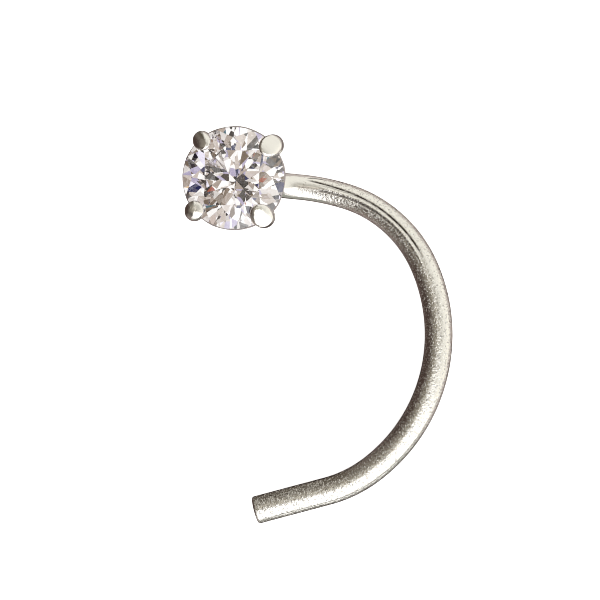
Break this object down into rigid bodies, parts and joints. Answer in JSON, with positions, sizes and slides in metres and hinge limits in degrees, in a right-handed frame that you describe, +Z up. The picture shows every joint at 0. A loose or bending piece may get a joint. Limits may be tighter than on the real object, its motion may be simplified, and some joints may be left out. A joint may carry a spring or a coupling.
{
  "type": "nose stud",
  "caption": "Nose stud with a round brilliant stone in a claw setting, on a straight post that bends into an open hook.",
  "frame": {"origin": "bottom centre of the bounding box, on the surface that the hook lies on", "axes": "+Z up along the post towards the stone's table; +Y from the hook's tip to the stone, the longest way; +X towards the hook's back"},
  "size_m": [0.0058, 0.0096, 0.0079],
  "materials": {
    "silver": "drawn and lightly polished sterling silver",
    "stone": "polished facets, cubic zirconia"
  },
  "bodies": {
    "root": {"claw_setting_with_hook": "silver", "stone": "stone"}
  },
  "joints": []
}
